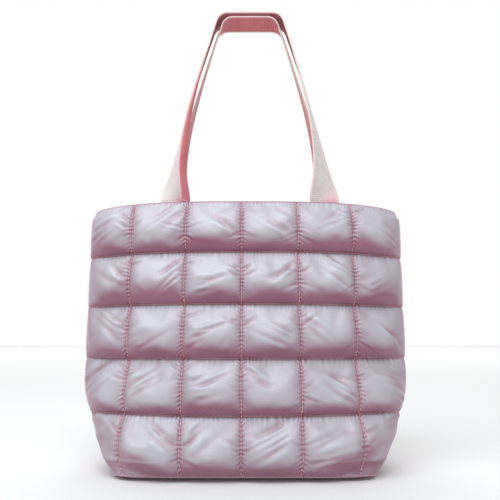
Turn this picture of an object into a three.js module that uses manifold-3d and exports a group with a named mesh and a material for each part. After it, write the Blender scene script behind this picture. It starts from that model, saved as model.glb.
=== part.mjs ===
// Quilted tote bag for ice skates, millimetres, +Z up, front towards -Y, standing on its bottom panel.
// Every wall is a stack of layers (shell, wadding, lining) lofted over one shared wall surface.

import * as THREE from 'three';
import Module from 'manifold-3d';

// ---------------------------------------------------------------- driving dimensions
const COLUMN = 72;                 // width of one quilted pillow along the cloth
const COLUMNS = 6;
const QUILT_SHIFT = -4.5;          // the quilting is cut slightly off centre
const ROW = 67.5;                  // height of one quilted pillow along the cloth
const ROWS = 5;
const HALF_GIRTH = COLUMN * COLUMNS / 2;
const WALL_HEIGHT = ROW * ROWS;

const BASE_HALF_WIDTH = 156;       // bottom panel, half its length in X
const BASE_HALF_DEPTH = 61.5;      // bottom panel, half its length in Y
const MOUTH_HALF_WIDTH = 206;
const MOUTH_HALF_DEPTH = 37;
const TAPER_HEIGHT = 120;          // the boxed lower corners fade out over this height
const CORNER_DROP = 8;             // the mouth edge is this much lower at the side seams
const BOTTOM_SEAM_Z = 5;           // the bottom panel sags this far below its seam

const GAP = 0.35;                  // clearance between neighbouring pieces
const CLOTH = 1.0;                 // thickness of shell and lining cloth
const PUFF = 12;                   // rise of a pillow above its seams
const SEAM_PACK = 3.2;             // thickness of the quilted stack at a seam
const SEAM_GAP = 0.3;              // half the gap between front and back at the side seams

const WEBBING_WIDTH = 38;
const WEBBING_THICKNESS = 1.8;
const WEBBING_SEWN_LENGTH = 26;    // length caught between shell and facing
const SEWN_SPACE = 4.4;            // room for the flat webbing between the curved wall and the facing
const FACING_DEPTH = 45;
const HANDLE_RISE = 291;           // from the mouth edge to the top of the handle
const HANDLE_CENTRE_X = 6;         // the handles are sewn slightly off centre
const HANDLE_LEG_X = { front: 100, back: 108 };  // half the leg spacing at the mouth
const HANDLE_TOP_X = 48;           // half the flat top
const HANDLE_BEND = 16;            // radius of the two upper bends
const HANDLE_LEG_BOW = 90;         // a leg leaves the seam upright and bows inwards above this height
const HANDLE_NEST = 7;             // held together, the back handle's loop lies this far inside the front's
const ROOT_CLEARANCE = 2.2;        // hinge line above the mouth edge, so the handle folds clear of it

const SNAP_RADIUS = 9;
const SNAP_HEIGHT = 2.6;
const SNAP_STEM_RADIUS = 2;
const SNAP_DEPTH_BELOW_MOUTH = 20;
const STUD_RADIUS = 3.2;
const WASHER_RADIUS = 10;
const WASHER_THICKNESS = 1.1;

const POCKET_HALF_COLUMNS = 1;     // the slip pocket is two columns wide
const POCKET_BOTTOM = ROW * 4 / 3;
const POCKET_TOP = ROW * 10 / 3;

// ---------------------------------------------------------------- materials
function finish(color, roughness, metalness = 0) {
  return { color, roughness, metalness };
}
const SHELL_CLOTH = finish(0xc9a3b3, 0.38);
const WADDING = finish(0xf2f0ec, 0.95);
const LINING_CLOTH = finish(0xb98c9e, 0.7);
const WEBBING = finish(0xe9b3b6, 0.75);
const METAL = finish(0xc8c4be, 0.3, 0.9);

const bag = new THREE.Group();
bag.name = 'skate_bag';

function addMesh(name, geometry, material) {
  const mesh = new THREE.Mesh(geometry, new THREE.MeshStandardMaterial(material));
  mesh.name = name;
  bag.add(mesh);
  return mesh;
}

// ---------------------------------------------------------------- the wall surface
const smooth = t => t * t * (3 - 2 * t);
const clamp01 = t => Math.min(1, Math.max(0, t));
const mix = (a, b, t) => a + (b - a) * t;

function halfWidthAt(v) {
  return mix(BASE_HALF_WIDTH, MOUTH_HALF_WIDTH, Math.sin(clamp01(v / TAPER_HEIGHT) * Math.PI / 2));
}

function halfDepthAt(v) {
  return mix(BASE_HALF_DEPTH, MOUTH_HALF_DEPTH, clamp01(v / WALL_HEIGHT));
}

// Quarter of the horizontal section, a superellipse, with the running length along it.
const SECTION_STEPS = 240;
function quarterSection(halfWidth, halfDepth, power) {
  const section = [];
  let length = 0;
  for (let i = 0; i <= SECTION_STEPS; i++) {
    const angle = i / SECTION_STEPS * Math.PI / 2;
    const x = halfWidth * Math.sin(angle) ** (2 / power);
    const y = halfDepth * Math.cos(angle) ** (2 / power);
    if (i > 0) {
      const last = section[i - 1];
      length += Math.hypot(x - last.x, y - last.y);
    }
    section.push({ x, y, length });
  }
  return section;
}

// The cloth does not stretch, so the power is whatever keeps the girth the same at every height.
// It is found by halving the range from a diamond to a near rectangle.
const DIAMOND_POWER = 1;
const RECTANGLE_POWER = 30;
const HALVINGS = 24;
function sectionAt(v) {
  const halfWidth = halfWidthAt(v);
  const halfDepth = halfDepthAt(v);
  let low = DIAMOND_POWER;
  let high = RECTANGLE_POWER;
  for (let i = 0; i < HALVINGS; i++) {
    const power = (low + high) / 2;
    const section = quarterSection(halfWidth, halfDepth, power);
    if (section[section.length - 1].length < HALF_GIRTH) {
      low = power;
    } else {
      high = power;
    }
  }
  return quarterSection(halfWidth, halfDepth, (low + high) / 2);
}

const sectionCache = new Map();
function cachedSection(v) {
  const key = v.toFixed(3);
  if (!sectionCache.has(key)) {
    sectionCache.set(key, sectionAt(v));
  }
  return sectionCache.get(key);
}

// s runs along the cloth from the middle of the panel, v up the cloth from the bottom seam.
function wallPoint(side, s, v) {
  const section = cachedSection(v);
  const total = section[section.length - 1].length;
  const wanted = Math.min(Math.abs(s) / HALF_GIRTH, 1) * total;
  let i = 1;
  while (i < section.length - 1 && section[i].length < wanted) {
    i++;
  }
  const before = section[i - 1];
  const after = section[i];
  const t = (wanted - before.length) / Math.max(after.length - before.length, 1e-9);
  const drop = CORNER_DROP * Math.abs(s / HALF_GIRTH) ** 4 * (v / WALL_HEIGHT) ** 2;
  return new THREE.Vector3(
    Math.sign(s) * mix(before.x, after.x, t),
    side * mix(before.y, after.y, t),
    BOTTOM_SEAM_Z + v - drop,
  );
}

const NORMAL_REACH = 6;            // the normal is taken between points this far either way
function wallNormal(side, s, v) {
  if (Math.abs(s) > HALF_GIRTH - 0.01) {
    return new THREE.Vector3(Math.sign(s), 0, 0);
  }
  const inside = HALF_GIRTH - NORMAL_REACH;
  const s0 = Math.max(-inside, Math.min(inside, s));
  const v0 = Math.max(NORMAL_REACH, Math.min(WALL_HEIGHT - NORMAL_REACH, v));
  const across = wallPoint(side, s0 + NORMAL_REACH, v0).sub(wallPoint(side, s0 - NORMAL_REACH, v0));
  const up = wallPoint(side, s0, v0 + NORMAL_REACH).sub(wallPoint(side, s0, v0 - NORMAL_REACH));
  return across.cross(up).multiplyScalar(-side).normalize();
}

// ---------------------------------------------------------------- layers
// A closed layer between two offsets from the wall, over a grid of s and v stations.
function layerGeometry(side, stationsS, stationsV, innerOffset, outerOffset) {
  const columns = stationsS.length;
  const rows = stationsV.length;
  const positions = [];
  for (const offset of [innerOffset, outerOffset]) {
    for (const v of stationsV) {
      for (const s of stationsS) {
        const point = wallPoint(side, s, v).addScaledVector(wallNormal(side, s, v), offset(s, v));
        point.y = side * Math.max(side * point.y, SEAM_GAP);
        point.z = Math.max(point.z, BOTTOM_SEAM_Z);
        positions.push(point.x, point.y, point.z);
      }
    }
  }
  const at = (layer, row, column) => layer * columns * rows + row * columns + column;
  const indices = [];
  const quad = (a, b, c, d) => {
    if (side < 0) {
      indices.push(a, b, c, a, c, d);
    } else {
      indices.push(a, c, b, a, d, c);
    }
  };
  for (let r = 0; r < rows - 1; r++) {
    for (let c = 0; c < columns - 1; c++) {
      quad(at(1, r, c), at(1, r, c + 1), at(1, r + 1, c + 1), at(1, r + 1, c));
      quad(at(0, r, c), at(0, r + 1, c), at(0, r + 1, c + 1), at(0, r, c + 1));
    }
  }
  for (let c = 0; c < columns - 1; c++) {
    quad(at(0, 0, c), at(0, 0, c + 1), at(1, 0, c + 1), at(1, 0, c));
    quad(at(1, rows - 1, c), at(1, rows - 1, c + 1), at(0, rows - 1, c + 1), at(0, rows - 1, c));
  }
  for (let r = 0; r < rows - 1; r++) {
    quad(at(1, r, 0), at(1, r + 1, 0), at(0, r + 1, 0), at(0, r, 0));
    quad(at(0, r, columns - 1), at(0, r + 1, columns - 1), at(1, r + 1, columns - 1), at(1, r, columns - 1));
  }
  const geometry = new THREE.BufferGeometry();
  geometry.setAttribute('position', new THREE.Float32BufferAttribute(positions, 3));
  geometry.setIndex(indices);
  return geometry;
}

function stations(from, to, count) {
  return Array.from({ length: count + 1 }, (_, i) => mix(from, to, i / count));
}

// Where the upright quilting seams run, the two side seams included.
const seamsS = Array.from({ length: COLUMNS + 1 }, (_, i) => {
  const s = (i - COLUMNS / 2) * COLUMN;
  return i === 0 || i === COLUMNS ? s : s + QUILT_SHIFT;
});

// 0 on the quilting seams and 1 in the middle of a pillow.
function pillow(s, v) {
  const column = Math.max(0, seamsS.findLastIndex(seam => seam <= s && seam < HALF_GIRTH));
  const across = 2 * (s - seamsS[column]) / (seamsS[column + 1] - seamsS[column]) - 1;
  const up = 2 * ((v / ROW) % 1) - 1;
  return Math.sqrt(Math.max(0, 1 - across * across) * Math.max(0, 1 - up * up));
}

const shellOuter = (s, v) => SEAM_PACK + PUFF * pillow(s, v);
const shellInner = (s, v) => shellOuter(s, v) - CLOTH;
const waddingOuter = (s, v) => shellInner(s, v) - GAP;
const waddingInner = () => GAP;
const sewnOuter = 0;
const sewnInner = sewnOuter - SEWN_SPACE;
const facingOuter = sewnInner;
const facingInner = facingOuter - CLOTH;
const liningOuter = 0;
const liningInner = liningOuter - CLOTH;

const SIDES = [['front', -1], ['back', 1]];
const THIRDS = 3;
const quiltS = [
  ...seamsS.slice(0, -1).flatMap((seam, i) => stations(seam, seamsS[i + 1], THIRDS).slice(0, -1)),
  HALF_GIRTH,
];
const quiltV = stations(0, WALL_HEIGHT, ROWS * THIRDS);
const facingBottom = WALL_HEIGHT - FACING_DEPTH;
const liningV = [...quiltV.filter(v => v < facingBottom - ROW / THIRDS), facingBottom - GAP];
const facingV = stations(facingBottom, WALL_HEIGHT, 2);

for (const [sideName, side] of SIDES) {
  addMesh(`${sideName}_shell`, layerGeometry(side, quiltS, quiltV, shellInner, shellOuter), SHELL_CLOTH);
  addMesh(`${sideName}_wadding`, layerGeometry(side, quiltS, quiltV, waddingInner, waddingOuter), WADDING);
  addMesh(
    `${sideName}_lining`,
    layerGeometry(side, quiltS, liningV, () => liningInner, () => liningOuter),
    LINING_CLOTH,
  );
}

// ---------------------------------------------------------------- joins and cuts
const manifold = await Module();
manifold.setup();

function toSolid(geometry) {
  const plain = geometry.index ? geometry.toNonIndexed() : geometry;
  const source = plain.attributes.position;
  const found = new Map();
  const vertices = [];
  const triangles = [];
  const indexOf = i => {
    const point = [source.getX(i), source.getY(i), source.getZ(i)];
    const key = point.map(value => Math.round(value * 1e4)).join(' ');
    if (!found.has(key)) {
      found.set(key, vertices.length / 3);
      vertices.push(...point);
    }
    return found.get(key);
  };
  for (let i = 0; i < source.count; i += 3) {
    const triangle = [indexOf(i), indexOf(i + 1), indexOf(i + 2)];
    if (new Set(triangle).size === 3) {
      triangles.push(...triangle);
    }
  }
  const mesh = new manifold.Mesh({
    numProp: 3,
    vertProperties: new Float32Array(vertices),
    triVerts: new Uint32Array(triangles),
  });
  return new manifold.Manifold(mesh);
}

function fromSolid(solid) {
  const mesh = solid.getMesh();
  const geometry = new THREE.BufferGeometry();
  geometry.setAttribute('position', new THREE.Float32BufferAttribute(mesh.vertProperties, 3));
  geometry.setIndex([...mesh.triVerts]);
  return geometry;
}

// Turned parts stand on the wall: local +Z points into the bag from the facing.
const TURNED_SIDES = 24;
function turned(profile) {
  const points = profile.map(([radius, height]) => new THREE.Vector2(radius, height));
  return new THREE.LatheGeometry(points, TURNED_SIDES).rotateX(Math.PI / 2);
}

function placeOnFacing(geometry, side, offset) {
  const v = WALL_HEIGHT - SNAP_DEPTH_BELOW_MOUTH;
  const outward = wallNormal(side, QUILT_SHIFT, v);
  const origin = wallPoint(side, QUILT_SHIFT, v).addScaledVector(outward, offset);
  const turn = new THREE.Quaternion().setFromUnitVectors(new THREE.Vector3(0, 0, 1), outward.negate());
  return geometry.applyQuaternion(turn).translate(origin.x, origin.y, origin.z);
}

// ---------------------------------------------------------------- facings and magnetic snap
const stemLength = sewnOuter - facingInner;
for (const [sideName, side] of SIDES) {
  const facing = toSolid(layerGeometry(side, quiltS, facingV, () => facingInner, () => facingOuter));
  const holeRadius = SNAP_STEM_RADIUS + GAP;
  const reach = SEWN_SPACE;
  const drill = turned([[0, -reach], [holeRadius, -reach], [holeRadius, reach], [0, reach]]);
  const hole = toSolid(placeOnFacing(drill, side, facingInner));
  addMesh(`${sideName}_facing`, fromSolid(facing.subtract(hole)), LINING_CLOTH);

  const washer = turned([
    [holeRadius, 0],
    [WASHER_RADIUS, 0],
    [WASHER_RADIUS, WASHER_THICKNESS],
    [holeRadius, WASHER_THICKNESS],
    [holeRadius, 0],
  ]);
  addMesh(`${sideName}_snap_washer`, placeOnFacing(washer, side, sewnOuter - GAP), METAL);
}

const snapFoot = GAP;
const snapFace = snapFoot + SNAP_HEIGHT;
const socket = turned([
  [0, -stemLength],
  [SNAP_STEM_RADIUS, -stemLength],
  [SNAP_STEM_RADIUS, snapFoot],
  [SNAP_RADIUS, snapFoot],
  [SNAP_RADIUS, snapFace],
  [STUD_RADIUS + GAP, snapFace],
  [STUD_RADIUS + GAP, snapFace - SNAP_HEIGHT / 2],
  [0, snapFace - SNAP_HEIGHT / 2],
]);
const stud = turned([
  [0, -stemLength],
  [SNAP_STEM_RADIUS, -stemLength],
  [SNAP_STEM_RADIUS, snapFoot],
  [SNAP_RADIUS, snapFoot],
  [SNAP_RADIUS, snapFace],
  [STUD_RADIUS, snapFace],
  [STUD_RADIUS, snapFace + SNAP_HEIGHT / 2],
  [0, snapFace + SNAP_HEIGHT / 2],
]);
addMesh('front_snap_stud', placeOnFacing(stud, -1, facingInner), METAL);
addMesh('back_snap_socket', placeOnFacing(socket, 1, facingInner), METAL);

// ---------------------------------------------------------------- slip pocket
const pocketReach = POCKET_HALF_COLUMNS * COLUMN + GAP;
const pocketS = quiltS.filter(s => Math.abs(s - QUILT_SHIFT) <= pocketReach);
const pocketV = quiltV.filter(v => v >= POCKET_BOTTOM - GAP && v <= POCKET_TOP + GAP);
const pocketOuter = liningInner - GAP;
addMesh(
  'slip_pocket',
  layerGeometry(1, pocketS, pocketV, () => pocketOuter - CLOTH, () => pocketOuter),
  LINING_CLOTH,
);

// ---------------------------------------------------------------- bottom panel
// Rings of the bottom outline, pulled in by an inset, stacked from the underside up.
function outlineRing(inset, z) {
  const scaleX = (BASE_HALF_WIDTH - inset) / BASE_HALF_WIDTH;
  const scaleY = (BASE_HALF_DEPTH - inset) / BASE_HALF_DEPTH;
  return SIDES.flatMap(([, side]) => {
    const along = side < 0 ? quiltS : [...quiltS].reverse();
    return along.slice(0, -1).map(s => {
      const point = wallPoint(side, s, 0);
      return new THREE.Vector3(point.x * scaleX, point.y * scaleY, z);
    });
  });
}

function ringGeometry(rings) {
  const count = rings[0].length;
  const positions = rings.flat().flatMap(point => [point.x, point.y, point.z]);
  const indices = [];
  for (let r = 0; r < rings.length - 1; r++) {
    for (let i = 0; i < count; i++) {
      const next = (i + 1) % count;
      const a = r * count + i;
      const b = r * count + next;
      indices.push(a, b, b + count, a, b + count, a + count);
    }
  }
  for (const [ring, upward] of [[0, false], [rings.length - 1, true]]) {
    const centre = positions.length / 3;
    positions.push(0, 0, rings[ring][0].z);
    for (let i = 0; i < count; i++) {
      const a = ring * count + i;
      const b = ring * count + (i + 1) % count;
      indices.push(centre, upward ? a : b, upward ? b : a);
    }
  }
  const geometry = new THREE.BufferGeometry();
  geometry.setAttribute('position', new THREE.Float32BufferAttribute(positions, 3));
  geometry.setIndex(indices);
  return geometry;
}

const TRAY_INSET = 12;             // the flat part of the bottom starts this far in
const BOTTOM_PADDING = 3.2;
const insideWall = 4;              // clear of the wall lining
const shellRimZ = BOTTOM_SEAM_Z - GAP;
const waddingFloorZ = CLOTH + GAP;
const waddingTopZ = waddingFloorZ + BOTTOM_PADDING;
addMesh('bottom_shell', ringGeometry([
  outlineRing(TRAY_INSET, 0),
  outlineRing(-SEAM_PACK, shellRimZ - CLOTH),
  outlineRing(-SEAM_PACK, shellRimZ),
  outlineRing(TRAY_INSET, CLOTH),
]), SHELL_CLOTH);
addMesh('bottom_wadding', ringGeometry([
  outlineRing(TRAY_INSET + GAP, waddingFloorZ),
  outlineRing(insideWall, waddingTopZ),
]), WADDING);
addMesh('bottom_lining', ringGeometry([
  outlineRing(insideWall, waddingTopZ + GAP),
  outlineRing(insideWall, waddingTopZ + GAP + CLOTH),
]), LINING_CLOTH);

// ---------------------------------------------------------------- handles
// A flat webbing strip lofted through stations, each a centre, a width direction and a normal.
function stripGeometry(strip) {
  const positions = [];
  for (const { centre, width, normal } of strip) {
    for (const [w, n] of [[-1, -1], [1, -1], [1, 1], [-1, 1]]) {
      const corner = centre.clone()
        .addScaledVector(width, w * WEBBING_WIDTH / 2)
        .addScaledVector(normal, n * WEBBING_THICKNESS / 2);
      positions.push(corner.x, corner.y, corner.z);
    }
  }
  const indices = [];
  const quad = (a, b, c, d) => indices.push(a, b, c, a, c, d);
  const last = (strip.length - 1) * 4;
  for (let i = 0; i < last; i += 4) {
    // Both faces are split along the same diagonal, so a twisted strip keeps its thickness.
    quad(i, i + 1, i + 5, i + 4);
    quad(i + 3, i + 7, i + 6, i + 2);
    quad(i + 1, i + 2, i + 6, i + 5);
    quad(i + 3, i, i + 4, i + 7);
  }
  quad(3, 2, 1, 0);
  quad(last, last + 1, last + 2, last + 3);
  const geometry = new THREE.BufferGeometry();
  geometry.setAttribute('position', new THREE.Float32BufferAttribute(positions, 3));
  geometry.setIndex(indices);
  return geometry;
}

const rootOffset = (sewnOuter + sewnInner) / 2;

// Where a handle leg leaves the mouth edge.
function legRoot(side, legX) {
  let s = legX;
  for (let i = 0; i < 4; i++) {
    s += legX - wallPoint(side, s, WALL_HEIGHT).x;
  }
  const outward = wallNormal(side, s, WALL_HEIGHT);
  return { s, root: wallPoint(side, s, WALL_HEIGHT).addScaledVector(outward, rootOffset) };
}

function legs(sideName) {
  const reach = HANDLE_LEG_X[sideName];
  return [['left', HANDLE_CENTRE_X - reach], ['right', HANDLE_CENTRE_X + reach]];
}

const hingeZ = BOTTOM_SEAM_Z + WALL_HEIGHT + ROOT_CLEARANCE;

// The middle line of a handle: bowed legs, two bends and a flat top.
function handlePath(sideName, side) {
  const [left, right] = legs(sideName).map(([, legX]) => legRoot(side, legX).root.setZ(hingeZ));
  const hingeY = (left.y + right.y) / 2;
  left.setY(hingeY);
  right.setY(hingeY);
  const nest = side > 0 ? HANDLE_NEST : 0;
  const topZ = BOTTOM_SEAM_Z + WALL_HEIGHT + HANDLE_RISE - nest;
  const topX = HANDLE_TOP_X - nest;
  const topLeft = new THREE.Vector3(HANDLE_CENTRE_X - topX, 0, topZ);
  const topRight = new THREE.Vector3(HANDLE_CENTRE_X + topX, 0, topZ);
  const path = new THREE.CurvePath();
  const bow = new THREE.Vector3(0, 0, HANDLE_LEG_BOW);
  const leftBow = left.clone().add(bow);
  const rightBow = right.clone().add(bow);
  const towards = (corner, other) => corner.clone().lerp(other, HANDLE_BEND / corner.distanceTo(other));
  const a = towards(topLeft, leftBow);
  const b = towards(topLeft, topRight);
  const c = towards(topRight, topLeft);
  const d = towards(topRight, rightBow);
  path.add(new THREE.QuadraticBezierCurve3(left, leftBow, a));
  path.add(new THREE.QuadraticBezierCurve3(a, topLeft, b));
  path.add(new THREE.LineCurve3(b, c));
  path.add(new THREE.QuadraticBezierCurve3(c, topRight, d));
  path.add(new THREE.QuadraticBezierCurve3(d, rightBow, right));
  return path;
}

// A leg leaves the seam flat, turns soon after and then ever more slowly. The two handles are
// held together, so the back's legs turn as far past a quarter turn as the front's fall short
// of it, face to face. Across the bend both come to a quarter turn for the flat top.
const TWIST_EASE = 10;
const TWIST_LENGTH = 32;
const STATION_GROWTH = 1.2;
const FULL_TURN = { front: THREE.MathUtils.degToRad(90), back: THREE.MathUtils.degToRad(117) };

function legTurn(sideName, distance, bendStart, bendEnd) {
  const run = Math.hypot(distance, TWIST_EASE) - TWIST_EASE;
  const leg = FULL_TURN[sideName] * run / (run + TWIST_LENGTH);
  return mix(leg, Math.PI / 2, smooth(clamp01((distance - bendStart) / (bendEnd - bendStart))));
}

// Stations up a leg, closest where the twist is quickest.
function legStations(bendStart) {
  const distances = [0];
  for (let distance = TWIST_EASE / 2; distance < bendStart - TWIST_EASE; distance *= STATION_GROWTH) {
    distances.push(distance);
  }
  return distances;
}

function handleStrip(sideName, side) {
  const path = handlePath(sideName, side);
  const length = path.getLength();
  const bendStart = path.curves[0].getLength();
  const bendEnd = bendStart + path.curves[1].getLength();
  const half = [...legStations(bendStart), ...stations(bendStart, bendEnd, 4)];
  const distances = [...half, ...half.map(distance => length - distance).reverse()];
  const facingOut = new THREE.Vector3(0, side, 0);
  return distances.map(distance => {
    const t = distance / length;
    const centre = path.getPointAt(t);
    const tangent = path.getTangentAt(t);
    const turn = side * legTurn(sideName, Math.min(distance, length - distance), bendStart, bendEnd);
    const flatWidth = tangent.clone().cross(facingOut).normalize();
    const flatNormal = flatWidth.clone().cross(tangent).normalize();
    const width = flatWidth.applyAxisAngle(tangent, turn);
    const normal = flatNormal.applyAxisAngle(tangent, turn);
    return { centre, width, normal };
  });
}

function orientedStrip(strip) {
  const along = strip[1].centre.clone().sub(strip[0].centre);
  const handed = strip[0].width.clone().cross(strip[0].normal).dot(along);
  return handed > 0 ? strip : strip.map(({ centre, width, normal }) => ({
    centre,
    width: width.clone().negate(),
    normal,
  }));
}

for (const [sideName, side] of SIDES) {
  const strip = orientedStrip(handleStrip(sideName, side));
  addMesh(`${sideName}_handle`, stripGeometry(strip), WEBBING);

  for (const [endName, legX] of legs(sideName)) {
    const { s, root } = legRoot(side, legX);
    const outward = wallNormal(side, s, WALL_HEIGHT);
    const width = new THREE.Vector3(0, 0, 1).cross(outward).normalize();
    const down = outward.clone().cross(width).normalize();
    if (down.z > 0) {
      down.negate();
    }
    const top = root.clone().addScaledVector(down, -GAP);
    const end = root.clone().addScaledVector(down, WEBBING_SEWN_LENGTH);
    const sewn = [top, end].map(centre => ({ centre, width, normal: outward }));
    addMesh(`${sideName}_${endName}_webbing_end`, stripGeometry(orientedStrip(sewn)), WEBBING);
  }
}

export default bag;
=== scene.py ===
# Quilted tote bag for ice skates: looks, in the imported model's frame, in metres.
import math

import bpy
import numpy as np
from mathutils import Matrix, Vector


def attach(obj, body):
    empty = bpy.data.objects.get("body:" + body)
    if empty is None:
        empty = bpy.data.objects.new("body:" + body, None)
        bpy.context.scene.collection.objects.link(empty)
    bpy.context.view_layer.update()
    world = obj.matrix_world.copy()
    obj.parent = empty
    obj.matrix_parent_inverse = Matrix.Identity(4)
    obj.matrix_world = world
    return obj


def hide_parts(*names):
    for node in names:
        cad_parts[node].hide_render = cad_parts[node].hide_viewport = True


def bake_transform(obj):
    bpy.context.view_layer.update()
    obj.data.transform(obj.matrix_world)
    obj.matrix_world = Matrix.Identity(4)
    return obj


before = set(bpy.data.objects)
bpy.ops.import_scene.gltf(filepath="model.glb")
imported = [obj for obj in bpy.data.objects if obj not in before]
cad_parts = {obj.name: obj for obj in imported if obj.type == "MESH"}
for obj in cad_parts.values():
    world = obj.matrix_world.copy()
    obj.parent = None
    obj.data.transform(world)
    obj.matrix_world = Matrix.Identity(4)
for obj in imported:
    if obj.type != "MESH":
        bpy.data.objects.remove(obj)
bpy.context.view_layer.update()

# ------------------------------------------------------------------ driving dimensions, as in the CAD
COLUMN = 0.072
COLUMNS = 6
QUILT_SHIFT = -0.0045
ROW = 0.0675
ROWS = 5
HALF_GIRTH = COLUMN * COLUMNS / 2
WALL_HEIGHT = ROW * ROWS
BASE_HALF_WIDTH = 0.156
BASE_HALF_DEPTH = 0.0615
MOUTH_HALF_WIDTH = 0.206
MOUTH_HALF_DEPTH = 0.037
TAPER_HEIGHT = 0.120
CORNER_DROP = 0.008
BOTTOM_SEAM_Z = 0.005
SEAM_PACK = 0.0030  # how far the stitched cloth stands off the wall line
CLOTH = 0.0010

WEBBING_WIDTH = 0.038
WEBBING_THICKNESS = 0.0018
WEBBING_SEWN_LENGTH = 0.026
SEWN_SPACE = 0.0044
FACING_DEPTH = 0.045
HANDLE_RISE = 0.291
HANDLE_CENTRE_X = 0.006
HANDLE_LEG_X = {"front": 0.100, "back": 0.108}
HANDLE_TOP_X = 0.048
HANDLE_BEND = 0.016
HANDLE_LEG_BOW = 0.090
HANDLE_NEST = 0.007
ROOT_CLEARANCE = 0.0022
TWIST_EASE = 0.010
TWIST_LENGTH = 0.032
FULL_TURN = {"front": math.radians(90), "back": math.radians(117)}

SNAP_DEPTH_BELOW_MOUTH = 0.020
SNAP_RADIUS = 0.009
SNAP_HEIGHT = 0.0026
SNAP_STEM_RADIUS = 0.002
STUD_RADIUS = 0.0032
SNAP_FOOT = 0.00035

POCKET_BOTTOM = ROW * 4 / 3
POCKET_TOP = ROW * 10 / 3

SIDES = {"front": -1, "back": 1}


# ------------------------------------------------------------------ camera
CAMERA_PLACE = (0.0059, -0.680, 0.172)
CAMERA_TILT = 0.164  # above the horizon, in radians
SENSOR_WIDTH = 36
LENS = 35.856


def add_camera():
    data = bpy.data.cameras.new("camera")
    camera = bpy.data.objects.new("camera", data)
    bpy.context.scene.collection.objects.link(camera)
    data.sensor_width = SENSOR_WIDTH
    data.lens = LENS
    camera.location = CAMERA_PLACE
    camera.rotation_euler = (math.pi / 2 + CAMERA_TILT, 0, 0)
    data.clip_start = 0.01
    bpy.context.scene.camera = camera


add_camera()
bpy.context.scene.view_settings.view_transform = "Standard"


# ------------------------------------------------------------------ the wall surface
def quarter_section(half_width, half_depth, power):
    angle = np.linspace(0, math.pi / 2, 241)
    x = half_width * np.sin(angle) ** (2 / power)
    y = half_depth * np.cos(angle) ** (2 / power)
    length = np.concatenate([[0], np.cumsum(np.hypot(np.diff(x), np.diff(y)))])
    return x, y, length


def section_at(v):
    """The quarter section at a height v up the cloth. The girth is the same at every height."""
    half_width = BASE_HALF_WIDTH + (MOUTH_HALF_WIDTH - BASE_HALF_WIDTH) * math.sin(
        min(max(v / TAPER_HEIGHT, 0), 1) * math.pi / 2
    )
    share = min(max(v / WALL_HEIGHT, 0), 1)
    half_depth = BASE_HALF_DEPTH + (MOUTH_HALF_DEPTH - BASE_HALF_DEPTH) * share
    low, high = 1.0, 8.0
    for _ in range(24):
        power = (low + high) / 2
        if quarter_section(half_width, half_depth, power)[2][-1] < HALF_GIRTH:
            low = power
        else:
            high = power
    return quarter_section(half_width, half_depth, (low + high) / 2)


def wall_grid(side, s, v):
    """Points on the wall for every row v and column s, shaped (rows, columns, 3)."""
    points = np.zeros((len(v), len(s), 3))
    for row, height in enumerate(v):
        x, y, length = section_at(height)
        along = np.minimum(np.abs(s) / HALF_GIRTH, 1) * length[-1]
        drop = CORNER_DROP * np.abs(s / HALF_GIRTH) ** 4 * (height / WALL_HEIGHT) ** 2
        points[row, :, 0] = np.sign(s) * np.interp(along, length, x)
        points[row, :, 1] = side * np.interp(along, length, y)
        points[row, :, 2] = BOTTOM_SEAM_Z + height - drop
    return points


def grid_normals(side, points):
    """Unit normals pointing out of the bag."""
    across = np.gradient(points, axis=1)
    up = np.gradient(points, axis=0)
    normals = np.cross(across, up) * -side
    return normals / np.linalg.norm(normals, axis=2, keepdims=True)


def wall_patch(side, s, v):
    """A point on the wall and its outward normal."""
    reach = 0.006
    point = wall_grid(side, np.array([s]), [v])[0, 0]
    middle = min(max(v, reach), WALL_HEIGHT - reach)
    patch = wall_grid(side, np.array([s - reach, s, s + reach]), [middle - reach, middle, middle + reach])
    normal = np.cross(patch[1, 2] - patch[1, 0], patch[2, 1] - patch[0, 1]) * -side
    return point, normal / np.linalg.norm(normal)


def smooth(t):
    t = np.clip(t, 0, 1)
    return t * t * (3 - 2 * t)


# ------------------------------------------------------------------ meshes
def grid_faces(rows, columns, flip=False, first=0):
    corner = (np.arange(rows - 1)[:, None] * columns + np.arange(columns - 1)[None, :]).ravel() + first
    quads = np.stack([corner, corner + 1, corner + columns + 1, corner + columns], axis=1)
    return (quads[:, ::-1] if flip else quads).tolist()


def ring_quads(rings, count, first=0):
    """Faces between neighbouring rings of count points each."""
    faces = []
    for ring in range(rings - 1):
        for i in range(count):
            a = first + ring * count + i
            b = first + ring * count + (i + 1) % count
            faces.append((a, b, b + count, a + count))
    return faces


def tube_faces(rings, count, first=0):
    """Faces of a tube of rings, with a cap on both ends."""
    faces = ring_quads(rings, count, first)
    faces.append(tuple(first + i for i in reversed(range(count))))
    faces.append(tuple(first + (rings - 1) * count + i for i in range(count)))
    return faces


def add_mesh(name, points, faces, material=None):
    mesh = bpy.data.meshes.new(name)
    mesh.from_pydata(np.asarray(points).reshape(-1, 3).tolist(), [], faces)
    mesh.update()
    mesh.shade_smooth()
    piece = bpy.data.objects.new(name, mesh)
    bpy.context.scene.collection.objects.link(piece)
    if material:
        mesh.materials.append(material)
    return piece


def set_uv(piece, per_point):
    """UVs in metres of cloth, so a weave keeps its real size."""
    layer = piece.data.uv_layers.new(name="cloth")
    corners = np.zeros(len(piece.data.loops), dtype=np.int32)
    piece.data.loops.foreach_get("vertex_index", corners)
    layer.data.foreach_set("uv", np.asarray(per_point, dtype=np.float32)[corners].ravel())


def set_values(piece, name, per_point):
    """One number per vertex, for a material to read."""
    attribute = piece.data.attributes.new(name, "FLOAT", "POINT")
    attribute.data.foreach_set("value", np.asarray(per_point, dtype=np.float32).ravel())


def on_bag(piece):
    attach(piece, "bag")


def cloth_uv(s, v):
    return np.stack(np.meshgrid(s, v), axis=-1).reshape(-1, 2)


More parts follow.
